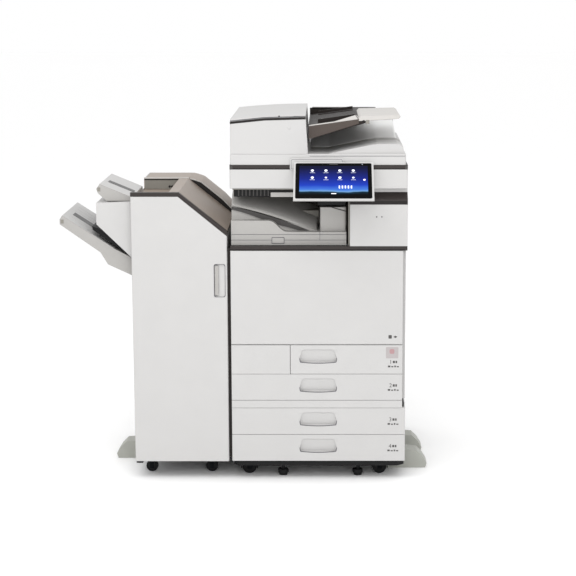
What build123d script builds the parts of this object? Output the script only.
from build123d import *
import os
from math import atan2, cos, degrees, radians, sin

os.makedirs("parts", exist_ok=True)

# A floor-standing photocopier with a finisher on its left, in millimetres. +X is to the right, +Y to the
# rear, +Z up. The origin is on the floor, under the middle of the whole machine.

# ---------------------------------------------------------------------------- driving dimensions
cover_w = 564.0  # front door and tray fronts, left to right
bank_extra = 10.0  # lower cabinet beyond the front door on the right
head_extra = 13.0  # scanner and upper right cover beyond the front door on the right
unit_d = 685.0  # main unit, front plane to rear cover
skirt_h = 17.0
bank_tray_h = 91.0  # fronts of trays 3 and 4
strip_h = 26.0  # fixed strip between trays 2 and 3
tray_2_h = 89.0
tray_1_h = 98.0
door_h = 314.0
trim_h = 15.0  # dark band above the door
right_cover_h = 136.0
ledge_h = 17.0
neck_h = 35.0  # from the ledge up to the scanner's underside
head_h = 62.0
strip_top_h = 15.0  # dark strip round the platen glass
adf_base_h = 35.0
feeder_h = 124.0  # from the feeder base to the top of the machine
front_t = 20.0  # thickness of a tray front
door_t = 20.0
wall = 3.0  # moulded covers
sheet = 2.0  # steel plates
gap = 1.2  # line between two fronts
clear = 0.5  # between a moving piece and its neighbours
fit = 0.05  # radial clearance of a pin in its hole
grip_w = 124.0
grip_h = 48.0
grip_d = 15.0
fixed_panel_w = 194.0  # panel left of tray 1
tray_travel = 450.0
box_l = 520.0  # tray box, front to back
cavity_w = 389.0  # exit cavity, from the left side
cavity_d = 400.0

panel_w = 256.0
panel_l = 174.0
panel_reach = 150.0  # lower edge of the operation panel in front of the front plane
panel_drop = 18.0  # lower edge of the panel below the scanner's underside
panel_angle = 37.5  # degrees from level

feeder_w = 243.0
feeder_d = 590.0
feeder_left_h = 103.0  # seam under the feeder's top cover, above the feeder base
feeder_right_h = 118.0

fin_gap = 11.0  # between finisher and main unit
fin_w = 312.0
fin_d = 608.0
fin_front = 5.0  # finisher front behind the main front plane
fin_h = 960.0
fin_flat_w = 156.0  # level part of the finisher's top
fin_drop = 126.0  # height lost along the slope
recess_d = 38.0  # recess in the left of the top
fin_trim_h = 12.0
fin_door_t = 18.0
exit_cover_w = 116.0
shift_reach = 239.5  # lower tray beyond the finisher's left side
shift_travel = 430.0
foot_reach_right = 80.0
foot_w = 70.0

wheel_r = 24.0
wheel_w = 18.0
axle_r = 3.0
stem_r = 5.0
trail = 14.0
pin_r = 1.5

# ---------------------------------------------------------------------------- places worked out from them
bank_w = cover_w + bank_extra
head_w = cover_w + head_extra
reach_left = fin_gap + fin_w + shift_reach
reach_right = bank_w + 1.5 + foot_reach_right
xl = -(reach_right - reach_left) / 2  # left side of the main unit
yf = -(unit_d - panel_reach) / 2  # front plane of the main unit
xr = xl + cover_w
xb = xl + bank_w + 1.5
xh = xl + head_w
yb = yf + unit_d
skirt_z = 2 * wheel_r - 3.0  # underside of the base skirt
bank_z = skirt_z + skirt_h
tray_3_z = bank_z + bank_tray_h
strip_z = tray_3_z + bank_tray_h
tray_2_z = strip_z + strip_h
tray_1_z = tray_2_z + tray_2_h
door_z = tray_1_z + tray_1_h
trim_z = door_z + door_h
cavity_z = trim_z + trim_h
ledge_z = cavity_z + right_cover_h
head_z = ledge_z + ledge_h + neck_h  # underside of the scanner
strip_top_z = head_z + head_h
adf_z = strip_top_z + strip_top_h
deck_z = adf_z + adf_base_h
machine_h = deck_z + feeder_h
feeder_left_z = deck_z + feeder_left_h
feeder_right_z = deck_z + feeder_right_h
panel_low_z = head_z - panel_drop
fx1 = xl - fin_gap
fx0 = fx1 - fin_w
fy0 = yf + fin_front
fy1 = fy0 + fin_d
fin_z = bank_z - 2.0
xc = xl + cavity_w  # right side of the exit cavity
frame_x0 = xl + 8.0
frame_x1 = xr - 24.0
frame_y0 = yf + 32.0
frame_y1 = yb - 34.0


# ---------------------------------------------------------------------------- helpers
def block(x0, x1, y0, y1, z0, z1, mode=Mode.ADD):
    """A box between two opposite corners."""
    with Locations(((x0 + x1) / 2, (y0 + y1) / 2, (z0 + z1) / 2)):
        Box(x1 - x0, y1 - y0, z1 - z0, mode=mode)


def rod_x(x0, x1, y, z, r, mode=Mode.ADD):
    """A round bar along X."""
    with Locations(Location(((x0 + x1) / 2, y, z), (0, 90, 0))):
        Cylinder(r, x1 - x0, mode=mode)


def rod_y(x, y0, y1, z, r, mode=Mode.ADD):
    """A round bar along Y."""
    with Locations(Location((x, (y0 + y1) / 2, z), (90, 0, 0))):
        Cylinder(r, y1 - y0, mode=mode)


def rod_z(x, y, z0, z1, r, mode=Mode.ADD):
    """A round bar along Z."""
    with Locations((x, y, (z0 + z1) / 2)):
        Cylinder(r, z1 - z0, mode=mode)


def outline_y(points, y0, y1, mode=Mode.ADD):
    """A prism along Y over an outline of (x, z) points."""
    with BuildSketch(Plane.XZ.offset(-y1)) as outline:
        with BuildLine():
            Polyline(*points, close=True)
        make_face()
    extrude(outline.sketch, amount=y1 - y0, mode=mode)


def outline_x(points, x0, x1, mode=Mode.ADD):
    """A prism along X over an outline of (y, z) points."""
    with BuildSketch(Plane.YZ.offset(x0)) as outline:
        with BuildLine():
            Polyline(*points, close=True)
        make_face()
    extrude(outline.sketch, amount=x1 - x0, mode=mode)


def keep(builder, name):
    """Labels a finished piece and writes its STEP file."""
    builder.part.label = name
    export_step(builder.part, f"parts/{name}.step")


# ---------------------------------------------------------------------------- main frame
bottle_r = 33.0
bottle_z = trim_z - 56.0
rack_z = bottle_z - bottle_r
fuser_w = 78.0
tray_floor = {1: tray_1_z, 2: tray_2_z, 3: tray_3_z, 4: bank_z}
tray_top = {1: door_z, 2: tray_1_z, 3: strip_z, 4: tray_3_z}
box_x0 = {n: xl + (fixed_panel_w + 14.0 if n == 1 else 30.0) for n in tray_floor}
box_x1 = xr - 46.0
flange_w = 8.0
rail_t = 3.0
box_h = min(bank_tray_h, tray_2_h, tray_1_h) - 23.0

with BuildPart() as main_frame:
    # side plates; the left one is low in front of the exit cavity
    block(frame_x0 - sheet, frame_x0, frame_y0, frame_y1 + sheet, bank_z, trim_z)
    block(frame_x0 - sheet, frame_x0, yf + cavity_d + 30, frame_y1 + sheet, trim_z, head_z)
    block(frame_x1, frame_x1 + sheet, frame_y0, frame_y1 + sheet, bank_z, head_z)
    block(frame_x0, frame_x1, frame_y1, frame_y1 + sheet, bank_z, head_z)
    for shelf_z in (bank_z, strip_z + strip_h / 2, door_z, cavity_z - sheet):
        block(frame_x0, frame_x1, frame_y0, frame_y1, shelf_z, shelf_z + sheet)
    block(xc + 4, frame_x1, frame_y0, frame_y1, head_z - sheet, head_z)
    block(frame_x0, xc + 4, yf + cavity_d + 30, frame_y1, head_z - sheet, head_z)
    # rails that carry the flanges of the tray boxes
    for n, floor in tray_floor.items():
        rail_z = floor + 10 + box_h - 6
        left_x = frame_x0 if n != 1 else box_x0[n] - flange_w - 10
        block(left_x, box_x0[n] - clear, frame_y0, frame_y1 - 60, rail_z - rail_t, rail_z)
        block(box_x1 + clear, frame_x1, frame_y0, frame_y1 - 60, rail_z - rail_t, rail_z)
    # shelf under the toner bottles
    block(frame_x0, frame_x1 - fuser_w, frame_y0 + 4, frame_y0 + 310, rack_z - sheet, rack_z)
    # post that carries the left rail of tray 1
    post_x = box_x0[1] - flange_w - 10
    block(post_x - sheet, post_x, frame_y0, frame_y1, tray_1_z, door_z)
keep(main_frame, "main_frame")

# ---------------------------------------------------------------------------- trays
grip_x0 = xl + 224.0
for n, floor in tray_floor.items():
    x0 = xl + (fixed_panel_w if n == 1 else 0.0)
    x1 = xr if n < 3 else xb - 1.5
    z0 = floor + gap / 2
    z1 = tray_top[n] - gap / 2
    grip_top = z1 - 14.0
    with BuildPart() as tray_front:
        block(x0 + (gap / 2 if n == 1 else 0), x1, yf, yf + front_t, z0, z1)
        fillet(tray_front.edges().filter_by(Axis.Z).group_by(Axis.Y)[0], 2.5)
        fillet(tray_front.edges().group_by(Axis.Y)[0].filter_by(Axis.X), 1.0)
        # grip: a pocket with a curved lower lip, and a finger space behind its upper edge
        with BuildSketch(Plane.XZ.offset(-yf)) as pocket:
            with BuildLine():
                left = (grip_x0, grip_top - 30)
                right = (grip_x0 + grip_w, grip_top - 30)
                Polyline(left, (grip_x0 + 10, grip_top), (grip_x0 + grip_w - 10, grip_top), right)
                low_right = (grip_x0 + grip_w - 4, grip_top - grip_h + 6)
                low_left = (grip_x0 + 4, grip_top - grip_h + 6)
                Line(right, low_right)
                ThreePointArc(low_right, (grip_x0 + grip_w / 2, grip_top - grip_h), low_left)
                Line(low_left, left)
            make_face()
            fillet(pocket.vertices().group_by(Axis.Y)[-1], 12)
        extrude(pocket.sketch, amount=-grip_d, mode=Mode.SUBTRACT)
        block(grip_x0 + 14, grip_x0 + grip_w - 14, yf + 6, yf + grip_d,
              grip_top - 1, grip_top + 9, mode=Mode.SUBTRACT)
    keep(tray_front, f"tray_{n}_front")

    with BuildPart() as tray_box:
        low = floor + 10.0
        high = low + box_h
        y0 = yf + front_t
        block(box_x0[n], box_x1, y0, y0 + box_l, low, high)
        block(box_x0[n] + sheet, box_x1 - sheet, y0 + sheet, y0 + box_l - sheet,
              low + sheet, high + 1, mode=Mode.SUBTRACT)
        flange_z = low + box_h - 6 + clear
        block(box_x0[n] - flange_w, box_x0[n], y0 + 30, y0 + box_l, flange_z, flange_z + sheet)
        block(box_x1, box_x1 + flange_w, y0 + 30, y0 + box_l, flange_z, flange_z + sheet)
    keep(tray_box, f"tray_{n}_box")

# ---------------------------------------------------------------------------- front door
hinge_in = 6.0
notch_w = 14.0
door_hinge_y = yf + hinge_in
door_hinge_z = door_z + hinge_in
door_brackets = (xl + 60.0, xr - 60.0)
bracket_w = notch_w - 2 * clear
bracket_h = pin_r + 0.8  # the bracket's end stays inside the circle that the notch's skin sweeps

with BuildPart() as front_door:
    block(xl, xr, yf, yf + door_t, door_z + gap / 2, trim_z - gap / 2)
    fillet(front_door.edges().filter_by(Axis.X).group_by(Axis.Y)[0].sort_by(Axis.Z)[0], 5)
    fillet(front_door.edges().filter_by(Axis.Z).group_by(Axis.Y)[0], 2.5)
    block(xl + 8, xr - 8, yf + wall, yf + door_t, door_z + 24, trim_z - 12, mode=Mode.SUBTRACT)
    for rib_x in (xl + cover_w / 3, xl + 2 * cover_w / 3):
        block(rib_x - 1.5, rib_x + 1.5, yf + wall, yf + door_t, door_z + 24, trim_z - 12)
    for x in door_brackets:
        block(x - notch_w / 2, x + notch_w / 2, yf + 2.5, yf + door_t + 1,
              door_z, door_z + 16, mode=Mode.SUBTRACT)
        rod_x(x - 20, x + 20, door_hinge_y, door_hinge_z, pin_r + fit, mode=Mode.SUBTRACT)
keep(front_door, "front_door")

# ---------------------------------------------------------------------------- right door and bypass tray
side_t = 11.0
side_door_z0 = tray_2_z + 4
side_door_z1 = trim_z - 4
side_y0 = yf + 60.0
side_y1 = yb - 90.0
side_x0 = xr - 1.5
side_x1 = side_x0 + side_t
side_hinge_x = side_x1 - hinge_in
side_hinge_z = side_door_z0 + hinge_in
bypass_z0 = side_door_z0 + 190.0
bypass_z1 = side_door_z1 - 60.0
bypass_y0 = side_y0 + 90.0
bypass_y1 = side_y1 - 90.0
bypass_t = 6.0
side_brackets = (side_y0 + 60.0, side_y1 - 60.0)

with BuildPart() as right_door:
    block(side_x0, side_x1, side_y0, side_y1, side_door_z0, side_door_z1)
    fillet(right_door.edges().filter_by(Axis.Y).group_by(Axis.X)[-1].sort_by(Axis.Z)[0], 5)
    fillet(right_door.edges().filter_by(Axis.Y).group_by(Axis.X)[-1].sort_by(Axis.Z)[-1], 4)
    # recess that the bypass tray folds into
    block(side_x1 - bypass_t - 2, side_x1 + 1, bypass_y0 - clear, bypass_y1 + clear,
          bypass_z0 - clear, bypass_z1 + clear, mode=Mode.SUBTRACT)
    for y in side_brackets:
        block(side_x0 - 1, side_x1 - 2.5, y - notch_w / 2, y + notch_w / 2,
              side_door_z0 - 1, side_door_z0 + 16, mode=Mode.SUBTRACT)
        rod_y(side_hinge_x, y - 20, y + 20, side_hinge_z, pin_r + fit, mode=Mode.SUBTRACT)
keep(right_door, "right_door")

with BuildPart() as bypass_tray:
    block(side_x1 - bypass_t, side_x1 - 0.5, bypass_y0, bypass_y1, bypass_z0, bypass_z1)
    fillet(bypass_tray.edges().filter_by(Axis.X).group_by(Axis.Z)[-1], 12)
    fillet(bypass_tray.edges().filter_by(Axis.Y).group_by(Axis.X)[-1].sort_by(Axis.Z)[0], 4)
    block(side_x1 - 3, side_x1, yf + 300, yf + 380, bypass_z1 - 22, bypass_z1 - 8, mode=Mode.SUBTRACT)
keep(bypass_tray, "bypass_tray")

# ---------------------------------------------------------------------------- fixed covers of the main unit
with BuildPart() as side_covers:
    # left side: cabinet, body, and the part behind the exit cavity
    block(xl + 0.5, xl + wall, yf + 30, yb - 32, bank_z, strip_z - 1)
    block(xl, xl + wall, yf + 30, yb - 32, strip_z + 1, trim_z - 1)
    block(xl, xl + wall, yf + cavity_d + 30, yb - 32, trim_z, head_z)
    # right side: cabinet, frame of the side door, and the wall above it
    block(xb - 1.5 - wall, xb - 1.5, yf + 30, yb - 32, bank_z, strip_z + 10)
    block(xr - 18, xr - 18 + wall, yf + 30, yb - 32, strip_z + 11, trim_z)
    block(side_x0, side_x1, side_y1 + clear, yb - 32, tray_2_z, trim_z)
    block(side_x0, side_x1, yf + 30, side_y0 - clear, tray_2_z, trim_z)
keep(side_covers, "side_covers")

with BuildPart() as rear_cover:
    block(xl, xh - 4, yb - 32, yb, bank_z, head_z)
    fillet(rear_cover.edges().filter_by(Axis.Z).group_by(Axis.Y)[-1], 8)
    block(xl + wall, xh - 4 - wall, yb - 33, yb - wall, bank_z + wall, head_z - wall, mode=Mode.SUBTRACT)
    with BuildSketch(Plane.XZ.offset(-yb)) as vents:
        for vent_x in (xl + 120, xh - 130):
            with Locations((vent_x, trim_z - 60)):
                with GridLocations(0, 12, 1, 9):
                    SlotOverall(110, 5)
        with Locations((xl + 90, bank_z + 150)):
            Rectangle(34, 28)
    extrude(vents.sketch, amount=2 * wall, mode=Mode.SUBTRACT)
keep(rear_cover, "rear_cover")

with BuildPart() as power_inlet:
    inlet_x = xl + 90
    inlet_z = bank_z + 150
    block(inlet_x - 17, inlet_x + 17, yb - 26, yb - 0.5, inlet_z - 14, inlet_z + 14)
    block(inlet_x - 13, inlet_x + 13, yb - 18, yb, inlet_z - 9, inlet_z + 9, mode=Mode.SUBTRACT)
    for pin_x in (-7, 0, 7):
        block(inlet_x + pin_x - 1, inlet_x + pin_x + 1, yb - 19, yb - 4, inlet_z - 2, inlet_z + 2)
keep(power_inlet, "power_inlet")

with BuildPart() as front_fixed_panels:
    block(xl, xl + fixed_panel_w - gap / 2, yf, yf + front_t, tray_1_z + gap / 2, door_z - gap / 2)
    block(xl, xr, yf, yf + front_t, strip_z + gap / 2, tray_2_z - gap / 2)
    fillet(front_fixed_panels.edges().filter_by(Axis.Z).group_by(Axis.Y)[0], 2)
    for z in (tray_1_z + 40, strip_z + strip_h / 2 - 2):
        block(xl + 30, xl + 60, yf + front_t, frame_y0, z, z + 2)
keep(front_fixed_panels, "front_fixed_panels")

neck_y = yf + 28.0
with BuildPart() as front_right_cover:
    # cover right of the cavity, wrapped round the right-hand corner, and the neck under the scanner
    block(xc, xh, yf, yf + wall, cavity_z, ledge_z)
    block(xc, xc + wall, yf + wall, yf + cavity_d, cavity_z, ledge_z)
    block(xh - wall, xh, yf + wall, yb - 32, cavity_z, ledge_z)
    fillet(front_right_cover.edges().filter_by(Axis.Z).group_by(Axis.Y)[0], 2.5)
    block(xc, xh - wall, neck_y, neck_y + wall, ledge_z, head_z)
    block(xc, xc + wall, neck_y + wall, yf + cavity_d, ledge_z, head_z)
    block(xh - wall, xh, neck_y, yb - 32, ledge_z, head_z)
keep(front_right_cover, "front_right_cover")

# ---------------------------------------------------------------------------- dark trims and platen
glass_x0 = xl + 44.0
glass_x1 = glass_x0 + 450.0
glass_y0 = yf + 150.0
glass_y1 = glass_y0 + 310.0
slit_x0 = xl + 20.0
slit_x1 = slit_x0 + 14.0
glass_t = 4.0
head_d = 648.0

with BuildPart() as body_trims:
    block(xl, xh, yf, yf + 14, trim_z + gap / 2, cavity_z - 0.2)
    block(xc, xh, yf + 14, frame_y0, trim_z + gap / 2, cavity_z - 0.2)
    slope = [(yf, ledge_z), (yf, ledge_z + ledge_h), (neck_y, ledge_z + 38), (neck_y, ledge_z)]
    outline_x(slope, xc, xh)
    # frame round the platen glass, the dark strip between scanner and feeder
    block(xl, xh - 1, yf, yf + head_d, strip_top_z, adf_z - 0.5)
    fillet(body_trims.edges().filter_by(Axis.Z).group_by(Axis.Z)[-1], 4)
    for x0, x1 in ((glass_x0, glass_x1), (slit_x0, slit_x1)):
        block(x0, x1, glass_y0, glass_y1, adf_z - 0.5 - glass_t, adf_z, mode=Mode.SUBTRACT)
        block(x0 + 3, x1 - 3, glass_y0 + 3, glass_y1 - 3, strip_top_z - 1, adf_z, mode=Mode.SUBTRACT)
keep(body_trims, "body_trims")

with BuildPart() as platen_glass:
    for x0, x1 in ((glass_x0, glass_x1), (slit_x0, slit_x1)):
        block(x0, x1, glass_y0, glass_y1, adf_z - 0.5 - glass_t, adf_z - 0.5)
keep(platen_glass, "platen_glass")

# ---------------------------------------------------------------------------- scanner
rail_r = 5.0
rail_z = head_z + 18.0
carriage_rails = (glass_y0 + 30, glass_y1 - 30)
adf_hinge_y = yf + head_d + 14.0
adf_hinge_z = adf_z + 4.0
adf_pin_r = 4.0
adf_hinges = (xl + 110.0, xh - 110.0)
ear_w = 30.0
lug_t = 8.0

with BuildPart() as scanner_housing:
    block(xl, xh - 1, yf, yf + head_d, head_z, strip_top_z)
    fillet(scanner_housing.edges().filter_by(Axis.Z), 5)
    fillet(scanner_housing.edges().filter_by(Axis.X).group_by(Axis.Z)[0].sort_by(Axis.Y)[0], 2.5)
    block(xl + wall, xh - 1 - wall, yf + wall, yf + head_d - wall, head_z + wall,
          strip_top_z + 1, mode=Mode.SUBTRACT)
    for y in carriage_rails:
        rod_x(xl + wall, xh - 1 - wall, y, rail_z, rail_r)
    # lugs that hold the feeder's hinge pins
    for x in adf_hinges:
        for side in (-1, 1):
            lug_x = x + side * (ear_w / 2 + clear + lug_t / 2)
            block(lug_x - lug_t / 2, lug_x + lug_t / 2, yf + head_d, yf + head_d + 28,
                  head_z + 8, adf_hinge_z + 7)
            rod_x(lug_x - lug_t, lug_x + lug_t, adf_hinge_y, adf_hinge_z, adf_pin_r, mode=Mode.SUBTRACT)
keep(scanner_housing, "scanner_housing")

with BuildPart() as scan_carriage:
    block(xl + 14, xl + 54, glass_y0 + 6, glass_y1 - 6, rail_z + 7, strip_top_z - 2)
    for y in carriage_rails:
        block(xl + 14, xl + 54, y - 10, y + 10, rail_z - 9, rail_z + 8)
        rod_x(xl + 10, xl + 60, y, rail_z, rail_r + fit, mode=Mode.SUBTRACT)
keep(scan_carriage, "scan_carriage")

# ---------------------------------------------------------------------------- exit cavity
with BuildPart() as exit_liner:
    block(frame_x0, xc - clear, yf + cavity_d + 30 - wall, yf + cavity_d + 30, cavity_z, head_z - sheet)
    block(xc - 5, xc - clear, yf + 14, yf + cavity_d + 30 - wall, cavity_z, head_z - sheet)
    block(frame_x0, xc - 5, yf + 14, yf + cavity_d + 30 - wall, head_z - sheet - wall, head_z - sheet)
keep(exit_liner, "exit_liner")

lip_left_z = cavity_z + 80.0
lip_low_z = cavity_z + 43.0
block_x0 = xc - 97.0
block_x1 = xc - 11.0
with BuildPart() as bridge_unit:
    # front lip with an S-shaped top edge, then the sloping paper surface behind it
    with BuildSketch(Plane.XZ.offset(-(yf + 60))) as lip:
        with BuildLine():
            Polyline((xl + 190, lip_low_z), (block_x1, lip_low_z), (block_x1, cavity_z),
                     (xl + 2, cavity_z), (xl + 2, lip_left_z), (xl + 120, lip_left_z))
            Spline((xl + 120, lip_left_z), (xl + 190, lip_low_z), tangents=((1, 0), (1, 0)))
        make_face()
    extrude(lip.sketch, amount=36)
    surface = [(xl + 2, cavity_z), (block_x1, cavity_z), (block_x1, lip_low_z),
               (block_x0 - 7, lip_low_z), (xl + 2, lip_left_z + 44)]
    outline_y(surface, yf + 60, yf + cavity_d)
    block(block_x0, block_x1, yf + 40, yf + 320, lip_low_z, ledge_z - 14)
    block_edges = bridge_unit.edges().filter_by(Axis.Z).filter_by_position(Axis.Z, lip_low_z + 1, ledge_z)
    fillet(block_edges.filter_by_position(Axis.Y, yf + 39, yf + 41), 8)
keep(bridge_unit, "bridge_unit")

# ---------------------------------------------------------------------------- imaging unit
bottle_pitch = (frame_x1 - fuser_w - frame_x0 - 54) / 4
bottle_xs = [frame_x0 + 47 + bottle_pitch * (i + 0.5) for i in range(4)]
with BuildPart() as toner_bottles:
    for x in bottle_xs:
        rod_y(x, frame_y0 + 10, frame_y0 + 300, bottle_z, bottle_r)
        rod_y(x, frame_y0 - 6, frame_y0 + 10, bottle_z, bottle_r - 12)
keep(toner_bottles, "toner_bottles")

with BuildPart() as transfer_belt:
    belt_z = rack_z - 48.0
    belt_ends = (frame_x0 + 82.0, frame_x1 - 100.0)
    block(belt_ends[0], belt_ends[1], frame_y0 + 20, frame_y0 + 350, belt_z - 18, belt_z + 18)
    for x in belt_ends:
        rod_y(x, frame_y0 + 20, frame_y0 + 350, belt_z, 18)
    block(belt_ends[0], belt_ends[1], frame_y0 + 350, frame_y1, belt_z - 8, belt_z + 8)
keep(transfer_belt, "transfer_belt")

drum_r = 19.0
with BuildPart() as drum_units:
    for x in bottle_xs:
        rod_y(x, frame_y0 + 20, frame_y0 + 350, belt_z - 18 - drum_r, drum_r)
        block(x - 26, x + 26, frame_y0 + 4, frame_y0 + 20, belt_z - 70, belt_z - 22)
        block(x - 26, x + 26, frame_y0 + 350, frame_y1, belt_z - 70, belt_z - 22)
keep(drum_units, "drum_units")

with BuildPart() as fuser_unit:
    block(frame_x1 - fuser_w, frame_x1, frame_y0 + 20, frame_y0 + 380, trim_z - 116, trim_z - 6)
    fillet(fuser_unit.edges().filter_by(Axis.Y), 8)
keep(fuser_unit, "fuser_unit")

# ---------------------------------------------------------------------------- document feeder
feeder_x0 = xl + 3.0
feeder_x1 = feeder_x0 + feeder_w
seam_x = feeder_x0 + 110.0
seam_z = feeder_right_z - 4.0
roller_x = feeder_x1 - 53.0
roller_z = deck_z + 84.0
wedge_h = 31.0  # height of the output tray's raised end
with BuildPart() as adf_base:
    block(xl + 2, xh - 7, yf + 2, yf + head_d - 2, adf_z, deck_z)
    fillet(adf_base.edges().filter_by(Axis.Z), 6)
    fillet(adf_base.edges().filter_by(Axis.X).group_by(Axis.Z)[-1].sort_by(Axis.Y)[0], 3)
    block(xl + 2 + wall, xh - 7 - wall, yf + 2 + wall, yf + head_d - 2 - wall,
          adf_z - 1, deck_z - wall, mode=Mode.SUBTRACT)
    # raised end of the output tray and its rear wall
    wedge = [(feeder_x1 + 74, deck_z), (feeder_x1 + 200, deck_z + 26), (feeder_x1 + 232, deck_z + wedge_h),
             (xh - 34, deck_z + wedge_h), (xh - 16, deck_z + wedge_h - 8), (xh - 12, deck_z)]
    outline_y(wedge, yf + 14, yf + 540)
    block(feeder_x1 + 16, xh - 28, yf + 552, yf + feeder_d, deck_z, machine_h - 16)
    for x in adf_hinges:
        block(x - ear_w / 2, x + ear_w / 2, yf + head_d - 6, adf_hinge_y + 12, adf_hinge_z - 3, deck_z)
        rod_x(x - ear_w / 2, x + ear_w / 2, adf_hinge_y, adf_hinge_z, 9)
        rod_x(x - ear_w, x + ear_w, adf_hinge_y, adf_hinge_z, adf_pin_r + fit, mode=Mode.SUBTRACT)
keep(adf_base, "adf_base")

with BuildPart() as platen_cushion:
    block(glass_x0 - 10, glass_x1 + 10, glass_y0 - 10, glass_y1 + 10, adf_z, deck_z - wall)
keep(platen_cushion, "platen_cushion")

with BuildPart() as adf_feeder_body:
    shell = [(feeder_x0, deck_z), (feeder_x0, feeder_left_z - gap / 2),
             (seam_x, seam_z), (feeder_x1, feeder_right_z - gap / 2),
             (feeder_x1 + 7, deck_z)]
    outline_y(shell, yf + 2, yf + feeder_d)
    fillet(adf_feeder_body.edges().filter_by(Axis.Z).group_by(Axis.Y)[0], 4)
    hollow = [(feeder_x0 + wall, deck_z + wall), (feeder_x0 + wall, machine_h),
              (feeder_x1 - 30, machine_h), (feeder_x1 - 30, deck_z + wall)]
    outline_y(hollow, yf + 2 + wall, yf + feeder_d - wall, mode=Mode.SUBTRACT)
    # way in for the sheet and way out for the copy, both through the right-hand wall
    block(feeder_x1 - 40, feeder_x1 + 20, yf + 90, yf + 510, deck_z + 50, machine_h, mode=Mode.SUBTRACT)
    block(feeder_x1 - 40, feeder_x1 + 20, yf + 90, yf + 510, deck_z + 6, deck_z + 26, mode=Mode.SUBTRACT)
    for y0, y1 in ((yf + 2, yf + 12), (yf + feeder_d - 10, yf + feeder_d)):
        rod_y(roller_x, y0, y1, roller_z, 3 + fit, mode=Mode.SUBTRACT)
keep(adf_feeder_body, "adf_feeder_body")

with BuildPart() as feed_roller:
    rod_y(roller_x, yf + 200, yf + 400, roller_z, 13)
    rod_y(roller_x, yf + 3, yf + feeder_d - 1, roller_z, 3)
keep(feed_roller, "feed_roller")

crown = machine_h - feeder_left_z - 8
seam_crown_z = machine_h - crown * ((feeder_x1 - seam_x) / feeder_w) ** 2
with BuildPart() as adf_top_cover:
    with BuildSketch(Plane.XZ.offset(-(yf + feeder_d - 6))) as lid:
        with BuildLine():
            Polyline((feeder_x0, feeder_left_z + 8), (feeder_x0, feeder_left_z),
                     (seam_x, seam_z + gap / 2), (feeder_x1, feeder_right_z),
                     (feeder_x1, machine_h))
            ThreePointArc((feeder_x1, machine_h), (seam_x, seam_crown_z),
                          (feeder_x0, feeder_left_z + 8))
        make_face()
    extrude(lid.sketch, amount=feeder_d - 10)
    fillet(adf_top_cover.edges().filter_by(Axis.Z).group_by(Axis.Y)[0], 1.5)
keep(adf_top_cover, "adf_top_cover")

table_x0 = feeder_x1 + 9.0
table_x1 = xh - 24.0
table_y0 = yf + 40.0
table_y1 = yf + 545.0
table_low_z = deck_z + 44.0
table_top_z = deck_z + 89.0
table_end_z = machine_h - 12.0
extension_x = table_x1 - 135.0
extension_y1 = yf + 400.0
with BuildPart() as document_tray:
    table = [(table_x0, table_low_z), (table_x0, table_top_z), (extension_x, table_end_z),
             (extension_x + 29, table_end_z), (extension_x + 29, table_end_z - 12),
             (extension_x + 16, table_end_z - 17)]
    outline_y(table, table_y0, table_y1)
    # the thinner extension that carries the end of a long sheet
    extension = [(extension_x, table_end_z - 8), (extension_x, table_end_z), (extension_x + 7, machine_h - 5),
                 (table_x1 - 8, machine_h - 2.5), (table_x1, machine_h - 7), (table_x1 - 6, machine_h - 13),
                 (extension_x + 21, machine_h - 20)]
    outline_y(extension, table_y0, extension_y1)
keep(document_tray, "document_tray")

guide_slope = (table_end_z - table_top_z) / (extension_x - table_x0)
guide_h = 11.0
for name, y in (("front", yf + 95.0), ("rear", yf + 480.0)):
    with BuildPart() as guide:
        low_x = table_x0 + 30
        high_x = table_x0 + 150
        low_z = table_top_z + guide_slope * 30 + clear
        high_z = table_top_z + guide_slope * 150 + clear
        outline_y([(low_x, low_z), (low_x, low_z + guide_h), (high_x, high_z + guide_h), (high_x, high_z)],
                  y, y + 6)
        inner_y = (y + 6, y + 46) if name == "front" else (y - 40, y)
        outline_y([(low_x, low_z), (low_x, low_z + 2), (high_x, high_z + 2), (high_x, high_z)], *inner_y)
    keep(guide, f"document_guide_{name}")

# ---------------------------------------------------------------------------- operation panel
panel_x0 = xl + 208.0
panel_x1 = panel_x0 + panel_w
along = (cos(radians(panel_angle)), sin(radians(panel_angle)))


def panel_point(s, t):
    """(y, z) of a point s up the panel from its lower edge and t behind its face."""
    return (yf - panel_reach + s * along[0] + t * along[1], panel_low_z + s * along[1] - t * along[0])


panel_face = Plane(
    origin=((panel_x0 + panel_x1) / 2, *panel_point(panel_l / 2, 0)),
    x_dir=(1, 0, 0), z_dir=(0, -along[1], along[0]))
tilt_y, tilt_z = panel_point(138, 23)
arm_xs = (panel_x0 + 8, panel_x0 + 128)
lug_xs = (panel_x0 + 30, panel_x0 + 106)
tilt_r = 3.0
screen_w = panel_w - 12
screen_l = panel_l - 12
screen_t = 3.0

with BuildPart() as panel_housing:
    section = [panel_point(s, t) for s, t in (
        (0, 0), (panel_l, 0), (panel_l, 9), (150, 12), (110, 26), (40, 26), (6, 10), (0, 6))]
    outline_x(section, panel_x0, panel_x1)
    fillet(panel_housing.edges().filter_by(Axis.X).sort_by(Axis.Y)[1:], 1.5)
    with BuildSketch(panel_face) as window:
        RectangleRounded(screen_w, screen_l, 6)
    extrude(window.sketch, amount=-screen_t, mode=Mode.SUBTRACT)
    for x in lug_xs:
        outline_x([panel_point(131, 8), panel_point(145, 8), panel_point(145, 23), panel_point(131, 23)],
                  x, x + 14)
        rod_x(x, x + 14, tilt_y, tilt_z, 6.5)
    rod_x(panel_x0, panel_x0 + 160, tilt_y, tilt_z, tilt_r + fit, mode=Mode.SUBTRACT)
keep(panel_housing, "panel_housing")

with BuildPart() as touch_screen:
    with BuildSketch(panel_face) as pane:
        RectangleRounded(screen_w - 0.4, screen_l - 0.4, 5.8)
    extrude(pane.sketch, amount=-screen_t)
keep(touch_screen, "touch_screen")

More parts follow.
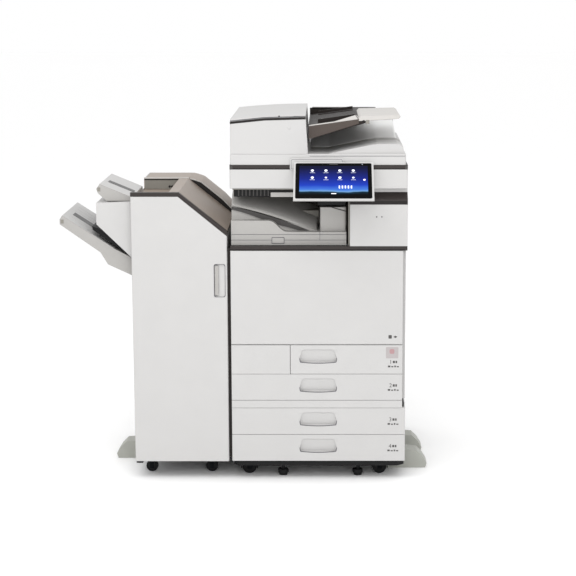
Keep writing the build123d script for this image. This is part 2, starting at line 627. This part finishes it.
with BuildPart() as panel_arm:
    for x in arm_xs:
        block(x, x + 20, tilt_y, yf, tilt_z - 6, tilt_z + 6)
        rod_x(x, x + 20, tilt_y, tilt_z, 6)
        rod_x(x - 1, x + 21, tilt_y, tilt_z, tilt_r, mode=Mode.SUBTRACT)
    block(arm_xs[0], arm_xs[1] + 20, yf - 6, yf, tilt_z - 26, tilt_z - 6)
keep(panel_arm, "panel_arm")

# ---------------------------------------------------------------------------- base, feet and casters
caster_xs = {"left": xl + 68.0, "right": xb - 70.0}
caster_ys = {"front": yf + 76.0, "rear": yf + 600.0}
foot_screws = ((xl + 168.0, yf + 56.0), (xb - 157.0, yf + 56.0))
skirt_roof = 4.0

with BuildPart() as base_skirt:
    with BuildSketch(Plane.XY.offset(skirt_z)) as footprint:
        with BuildLine():
            Polyline((xl + 24, yf + 6), (xb - 26, yf + 6), (xb - 4, yf + 26), (xb - 4, yb - 30),
                     (xl + 4, yb - 30), (xl + 4, yf + 26), close=True)
        make_face()
    extrude(footprint.sketch, amount=skirt_h)
    # an open pan: a thin wall all round and a roof, with room for the swivelling casters
    with BuildSketch(Plane.XY.offset(skirt_z - 1)) as room:
        add(footprint.sketch.moved(Location((0, 0, -1))))
        offset(amount=-wall, kind=Kind.INTERSECTION, mode=Mode.REPLACE)
    extrude(room.sketch, amount=skirt_h + 1 - skirt_roof, mode=Mode.SUBTRACT)
    for x in caster_xs.values():
        for y in caster_ys.values():
            rod_z(x, y, skirt_z, bank_z + 1, stem_r + fit, mode=Mode.SUBTRACT)
    # levelling feet screwed into the roof
    for x, y in foot_screws:
        rod_z(x, y, 20, bank_z - skirt_roof, 6)
        rod_z(x, y, 8, 20, 17.5)
        rod_z(x, y, 0, 8, 14)
keep(base_skirt, "base_skirt")

feet = ((xb - 60, xb + foot_reach_right, yf + 170.0), (xb - 60, xb + foot_reach_right - 6, yf + 367.0),
        (fx0 - 94.0, fx0 + 60, yf + 289.0))
with BuildPart() as stabiliser_feet:
    for x0, x1, y in feet:
        wide = x1 > 0
        toe = x1 if wide else x0
        heel = x0 if wide else x1
        side = 1 if wide else -1
        edge = (xb if wide else fx0) + side * 1.0
        shoe = [(heel, 0), (heel, skirt_z - 1), (edge, skirt_z - 1), (edge, skirt_z + 17),
                (toe - side * 34, skirt_z + 14), (toe - side * 14, skirt_z - 6),
                (toe, 16), (toe - side * 5, 0)]
        outline_y(shoe, y - foot_w / 2, y + foot_w / 2)
    fillet(stabiliser_feet.edges().filter_by(Axis.Y).filter_by_position(Axis.Z, skirt_z - 8, skirt_z + 16), 6)
keep(stabiliser_feet, "stabiliser_feet")

for side, x in caster_xs.items():
    for end, y in caster_ys.items():
        axle_x = x - trail
        with BuildPart() as fork:
            rod_z(x, y, bank_z - 8, bank_z - 0.5, stem_r)
            block(axle_x - 10, x + 12, y - 15, y + 15, bank_z - 9, bank_z - 5.5)
            for cheek in (-1, 1):
                y0 = y + cheek * 12
                cheek_outline = [(axle_x - 7, wheel_r - 7), (axle_x + 7, wheel_r - 7),
                                 (x + 12, bank_z - 9), (axle_x - 10, bank_z - 9)]
                outline_y(cheek_outline, min(y0, y0 + cheek * 3), max(y0, y0 + cheek * 3))
            rod_y(axle_x, y - 15, y + 15, wheel_r, axle_r)
        keep(fork, f"caster_fork_{end}_{side}")
        with BuildPart() as wheel:
            rod_y(axle_x, y - wheel_w / 2, y + wheel_w / 2, wheel_r, wheel_r)
            fillet(wheel.edges().filter_by(GeomType.CIRCLE), 3)
            rod_y(axle_x, y - 20, y + 20, wheel_r, axle_r + fit, mode=Mode.SUBTRACT)
        keep(wheel, f"caster_wheel_{end}_{side}")

# ---------------------------------------------------------------------------- finisher
slope_x = fx0 + fin_flat_w
fin_run = fx1 - slope_x
fin_low_z = fin_h - fin_drop
trim_drop = fin_trim_h / cos(atan2(fin_drop, fin_run))  # vertical size of the trim along the slope
door_top = fin_h - fin_trim_h
recess_x = fx0 + 123.0
recess_z = fin_h - recess_d
lip_y = fy0 + 420.0
fin_hinge_x = fx0 + 7.0
fin_hinge_y = fy0 + 7.0
fin_pin_r = 3.0
slot_ys = (yf + 150.0, yf + 320.0)
arm_w = 8.0
fin_grip_z = fin_h - 344.0
fin_grip_h = 110.0
carrier_z = fin_h - 255.0  # middle of the arms that carry the lower tray

with BuildPart() as finisher_door:
    slope_door = [(fx0, fin_z), (fx0, door_top - gap), (slope_x - 2, door_top - gap),
                  (fx1, fin_low_z - trim_drop - gap), (fx1, fin_z)]
    outline_y(slope_door, fy0, fy0 + fin_door_t)
    fillet(finisher_door.edges().filter_by(Axis.Z).group_by(Axis.Y)[0], 4)
    inner = [(fx0 + 16, fin_z + 12), (fx0 + 16, door_top - 24), (slope_x - 8, door_top - 24),
             (fx1 - 52, fin_low_z + 8), (fx1 - 52, fin_z + 12)]
    outline_y(inner, fy0 + wall, fy0 + fin_door_t, mode=Mode.SUBTRACT)
    # finger recess at the right-hand edge
    block(fx1 - 44, fx1 - 6, fy0 - 1, fy0 + 12, fin_grip_z, fin_grip_z + fin_grip_h,
          mode=Mode.SUBTRACT)
    rod_z(fin_hinge_x, fin_hinge_y, fin_z - 1, fin_z + 16, fin_pin_r + fit, mode=Mode.SUBTRACT)
    rod_z(fin_hinge_x, fin_hinge_y, door_top - 18, door_top + 1, fin_pin_r + fit, mode=Mode.SUBTRACT)
keep(finisher_door, "finisher_door")

shell_y0 = fy0 + fin_door_t + 3.0
with BuildPart() as finisher_trims:
    band = [(fx0, door_top), (fx0, fin_h), (slope_x, fin_h), (fx1, fin_low_z),
            (fx1, fin_low_z - trim_drop), (slope_x - 2, door_top)]
    outline_y(band, fy0, shell_y0)
    rod_z(fin_hinge_x, fin_hinge_y, door_top - 1, door_top + 8, fin_pin_r, mode=Mode.SUBTRACT)
    # black strip that closes the gap to the main unit
    block(fx1, xl - 1, shell_y0, shell_y0 + 30, fin_z + 10, trim_z)
keep(finisher_trims, "finisher_trims")

with BuildPart() as finisher_side_covers:
    block(fx0, fx0 + wall, shell_y0, fy1 - wall, fin_z, recess_z - wall)
    block(fx0, fx0 + wall, lip_y + 4, fy1 - wall, recess_z - wall, fin_h)
    for y in slot_ys:
        block(fx0 - 1, fx0 + wall + 1, y - arm_w / 2 - 1, y + arm_w / 2 + 1,
              carrier_z - 25 - shift_travel, carrier_z + 25, mode=Mode.SUBTRACT)
    # right-hand cover with the entry slit from the bridge unit
    block(fx1 - wall, fx1, shell_y0, fy1 - wall, fin_z, fin_low_z - trim_drop)
    # box over the paper exits
    box_x = fx0 - exit_cover_w
    exit_box = [(fx0, fin_h - 221), (fx0, fin_h - 34), (box_x, fin_h - 38), (box_x, fin_h - 108)]
    outline_y(exit_box, yf + 40, yf + 60)
    outline_y(exit_box, yf + 407, yf + 427)
    outline_y([(fx0, fin_h - 42), (fx0, fin_h - 34), (box_x, fin_h - 38), (box_x, fin_h - 46)],
              yf + 60, yf + 407)
keep(finisher_side_covers, "finisher_side_covers")

with BuildPart() as finisher_rear_cover:
    back = [(fx0, fin_z), (fx0, fin_h), (slope_x, fin_h), (fx1, fin_low_z), (fx1, fin_z)]
    outline_y(back, fy1 - wall, fy1)
    with BuildSketch(Plane.XZ.offset(-fy1)) as louvres:
        with Locations((fx0 + fin_w / 2, fin_z + 240)):
            with GridLocations(0, 12, 1, 8):
                SlotOverall(120, 5)
    extrude(louvres.sketch, amount=2 * wall, mode=Mode.SUBTRACT)
keep(finisher_rear_cover, "finisher_rear_cover")

drop = wall * fin_drop / fin_run
with BuildPart() as finisher_top_cover:
    skin = [(recess_x, fin_h), (slope_x, fin_h), (fx1, fin_low_z), (fx1, fin_low_z - wall - drop),
            (slope_x, fin_h - wall - drop), (recess_x + wall, fin_h - wall - drop),
            (recess_x + wall, recess_z - wall), (fx0, recess_z - wall), (fx0, recess_z), (recess_x, recess_z)]
    outline_y(skin, shell_y0, lip_y)
    # raised lip along the rear of the slope and the level roof behind it
    lip = [(fx0, recess_z - wall), (fx0, fin_h + 3), (slope_x + 2, fin_h + 3), (fx1 - 26, fin_low_z + 26),
           (fx1 - 26, fin_low_z), (slope_x, recess_z - wall)]
    outline_y(lip, lip_y, lip_y + 4)
    roof = [(fx0 + wall, fin_h - 1), (slope_x, fin_h - 1), (fx1, fin_low_z - 1), (fx1, fin_low_z - 5),
            (slope_x, fin_h - 5), (fx0 + wall, fin_h - 5)]
    outline_y(roof, lip_y + 4, fy1 - wall)
keep(finisher_top_cover, "finisher_top_cover")

fin_wheel_r = 20.0
rail_x = fx0 + 85.0
stapler_z = fin_h - 220.0
fin_caster_xs = {"left": fx0 + 46.0, "right": fx1 - 63.0}
fin_caster_ys = (yf + 97.0, yf + 540.0)
with BuildPart() as finisher_frame:
    block(fx0 + wall, fx1 - wall, shell_y0, fy1 - wall, fin_z, fin_z + 4)
    block(fx0 + 40, fx0 + 43, fy0 + 60, fy1 - 60, fin_z + 4, fin_h - 80)
    block(fx1 - 33, fx1 - 30, fy0 + 60, fy1 - 60, fin_z + 4, fin_low_z - 34)
    block(fx0 + 43, fx1 - 33, fy1 - 63, fy1 - 60, fin_z + 4, fin_low_z - 34)
    # rail of the stapler
    rod_y(rail_x, fy0 + 60, fy1 - 63, stapler_z + 10, 6)
    # tongue under the door for its lower pin
    block(fx0 + 3, fx0 + 25, fy0 + 1, shell_y0, fin_z - 6, fin_z - 1)
    block(fx0 + 3, fx0 + 25, shell_y0, shell_y0 + 30, fin_z - 6, fin_z)
    rod_z(fin_hinge_x, fin_hinge_y, fin_z - 7, fin_z, fin_pin_r, mode=Mode.SUBTRACT)
    # fixed caster forks
    for x in fin_caster_xs.values():
        for y in fin_caster_ys:
            block(x - 14, x + 14, y - 14, y + 14, fin_z - 5, fin_z)
            for cheek in (-1, 1):
                block(x - 7, x + 7, y + cheek * 12.5 - 1.5, y + cheek * 12.5 + 1.5,
                      fin_wheel_r - 7, fin_z - 5)
            rod_y(x, y - 14, y + 14, fin_wheel_r, axle_r)
keep(finisher_frame, "finisher_frame")

for side, x in fin_caster_xs.items():
    with BuildPart() as wheels:
        for y in fin_caster_ys:
            rod_y(x, y - 9, y + 9, fin_wheel_r, fin_wheel_r)
        fillet(wheels.edges().filter_by(GeomType.CIRCLE), 3)
        for y in fin_caster_ys:
            rod_y(x, y - 20, y + 20, fin_wheel_r, axle_r + fit, mode=Mode.SUBTRACT)
    keep(wheels, f"finisher_wheels_{side}")

# ---------------------------------------------------------------------------- finisher trays and stapler
tray_y0 = yf + 60.0
tray_y1 = yf + 407.0
tip_x = fx0 - shift_reach
with BuildPart() as shift_tray:
    body = [(fx0 - clear, fin_h - 283), (fx0 - clear, fin_h - 224), (fx0 - 62, fin_h - 192),
            (tip_x + 8, fin_h - 82), (tip_x, fin_h - 94), (tip_x, fin_h - 111),
            (fx0 - 108, fin_h - 204), (fx0 - 84, fin_h - 244)]
    outline_y(body, tray_y0, tray_y1)
    fillet(shift_tray.edges().filter_by(Axis.Y).group_by(Axis.X)[0], 4)
    # arms through the slots in the side cover, joined by a carrier inside
    for y in slot_ys:
        block(fx0 - clear, fx0 + 10, y - arm_w / 2, y + arm_w / 2, carrier_z - 15, carrier_z + 15)
    block(fx0 + 10, fx0 + 14, slot_ys[0] - 20, slot_ys[1] + 20, carrier_z - 25, carrier_z + 25)
keep(shift_tray, "shift_tray")

with BuildPart() as proof_tray:
    upper = [(fx0, fin_h - 33), (fx0, fin_h - 22), (fx0 - exit_cover_w + 10, fin_h + 22),
             (fx0 - exit_cover_w - 1, fin_h + 6), (fx0 - exit_cover_w + 4, fin_h - 8), (fx0 - 84, fin_h - 33)]
    outline_y(upper, tray_y0, yf + 375)
    fillet(proof_tray.edges().filter_by(Axis.Y).group_by(Axis.X)[0], 3)
keep(proof_tray, "proof_tray")

with BuildPart() as stapler:
    block(rail_x - 35, rail_x + 35, fy0 + 80, fy0 + 150, stapler_z, stapler_z + 60)
    block(rail_x - 35, rail_x + 15, fy0 + 86, fy0 + 144, stapler_z + 60, stapler_z + 84)
    rod_y(rail_x, fy0 + 70, fy0 + 160, stapler_z + 10, 6 + fit, mode=Mode.SUBTRACT)
keep(stapler, "stapler")

# ---------------------------------------------------------------------------- hinge pins and brackets
with BuildPart() as hinge_pins:
    for x in door_brackets:
        rod_x(x - 19, x + 19, door_hinge_y, door_hinge_z, pin_r)
        block(x - bracket_w / 2, x + bracket_w / 2, door_hinge_y - bracket_h, frame_y0,
              door_hinge_z - bracket_h, door_hinge_z + bracket_h)
    for y in side_brackets:
        rod_y(side_hinge_x, y - 19, y + 19, side_hinge_z, pin_r)
        block(xr - 15, side_hinge_x + bracket_h, y - bracket_w / 2, y + bracket_w / 2,
              side_hinge_z - bracket_h, side_hinge_z + bracket_h)
    for x in adf_hinges:
        reach = ear_w / 2 + clear + lug_t
        rod_x(x - reach, x + reach, adf_hinge_y, adf_hinge_z, adf_pin_r)
    rod_x(arm_xs[0], arm_xs[1] + 20, tilt_y, tilt_z, tilt_r)
    rod_z(fin_hinge_x, fin_hinge_y, fin_z - 6, fin_z + 14, fin_pin_r)
    rod_z(fin_hinge_x, fin_hinge_y, door_top - 16, door_top + 7, fin_pin_r)
keep(hinge_pins, "hinge_pins")
